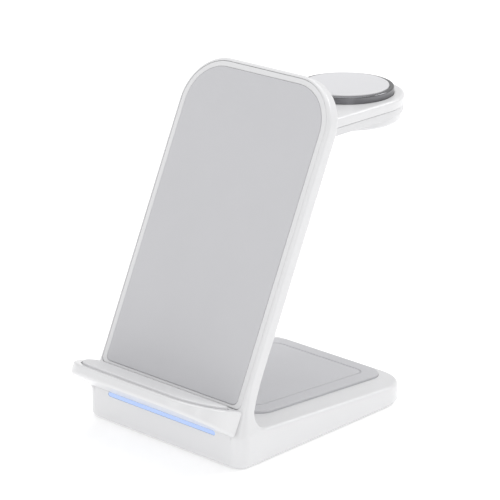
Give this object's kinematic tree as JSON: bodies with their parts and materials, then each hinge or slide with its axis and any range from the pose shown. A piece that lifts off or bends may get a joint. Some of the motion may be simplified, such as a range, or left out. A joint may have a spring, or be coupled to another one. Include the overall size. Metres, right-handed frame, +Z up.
{
  "type": "wireless charging stand",
  "caption": "Upright wireless charging stand: leaning phone panel with a ledge and front light, earbuds pad on its base, level watch arm behind the panel.",
  "frame": {"origin": "on the table under the middle of the stand's whole footprint, from the ledge's nose to the end of the watch arm", "axes": "+X across the stand to its right as seen from the front, -Y out of its front, +Z up"},
  "size_m": [0.071, 0.1262, 0.1174],
  "materials": {
    "white_gloss_plastic": "smooth white moulded plastic with a soft gloss",
    "white_satin_plastic": "white moulded plastic with a fine satin texture",
    "soft_touch_grey": "light grey matt soft-touch coating",
    "clear_silicone": "milky silicone strip",
    "foot_rubber": "grey rubber",
    "light_diffuser": "milky light guide, lit pale blue",
    "ring_aluminium": "satin anodised ring",
    "puck_plastic": "light grey satin plastic",
    "bracket_aluminium": "plain aluminium",
    "screw_steel": "plain steel screws",
    "weight_steel": "plain steel plate",
    "socket_steel": "nickel-plated steel shell",
    "coil_copper": "copper litz winding",
    "ferrite": "dark grey ferrite sheet",
    "magnet_metal": "nickel-plated magnet",
    "circuit_board": "green circuit board"
  },
  "bodies": {
    "root": {"main_housing": "white_gloss_plastic", "base_bottom_cover": "white_satin_plastic", "rubber_feet": "foot_rubber", "base_screws": "screw_steel", "counterweight": "weight_steel", "main_circuit_board": "circuit_board", "board_screws": "screw_steel", "usb_c_socket": "socket_steel", "earbuds_pad": "soft_touch_grey", "earbuds_coil": "coil_copper", "earbuds_coil_ferrite": "ferrite", "light_bar": "light_diffuser", "led_board": "circuit_board", "phone_ledge": "white_gloss_plastic", "ledge_grip_pad": "clear_silicone", "panel_front_frame": "white_gloss_plastic", "phone_pad": "soft_touch_grey", "phone_coil_upper": "coil_copper", "phone_coil_lower": "coil_copper", "phone_coil_ferrite": "ferrite", "coil_driver_board": "circuit_board", "arm_flange": "white_satin_plastic", "arm_upper_shell": "white_gloss_plastic", "arm_band": "white_satin_plastic", "arm_lower_cover": "white_gloss_plastic", "arm_bracket": "bracket_aluminium", "arm_screws": "screw_steel", "puck_ring": "ring_aluminium", "watch_puck": "puck_plastic", "watch_coil": "coil_copper", "watch_coil_ferrite": "ferrite", "watch_magnet": "magnet_metal"}
  },
  "joints": []
}
